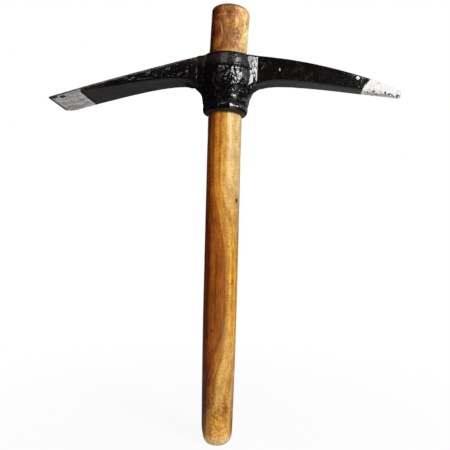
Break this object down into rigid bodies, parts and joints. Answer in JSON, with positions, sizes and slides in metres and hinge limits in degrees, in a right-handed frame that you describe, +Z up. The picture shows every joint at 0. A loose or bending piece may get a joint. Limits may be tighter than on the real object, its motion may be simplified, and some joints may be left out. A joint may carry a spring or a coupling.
{
  "type": "pick axe",
  "caption": "Short hand pick: a forged steel head with a flat chisel arm and a tapered pick arm, held on a varnished wooden handle by a tapered eye.",
  "frame": {"origin": "centre of the flat face of the butt end", "axes": "+Z up the handle towards the head, +X towards the pick point, +Y to the rear, away from the picture's viewer"},
  "size_m": [0.3169, 0.0558, 0.4006],
  "materials": {
    "black_paint": "thick glossy black paint over a rough forging, with the chisel bit and the pick point left as bare ground steel",
    "varnished_wood": "honey brown varnished wood with long streaky grain, darker and rougher at the top end"
  },
  "bodies": {
    "head": {"head": "black_paint"},
    "handle": {"handle": "varnished_wood"}
  },
  "joints": [
    {"name": "handle_slide", "type": "slide", "parent": "head", "child": "handle", "axis": [0, 0, 1], "range_m": [0, 0.36]}
  ]
}
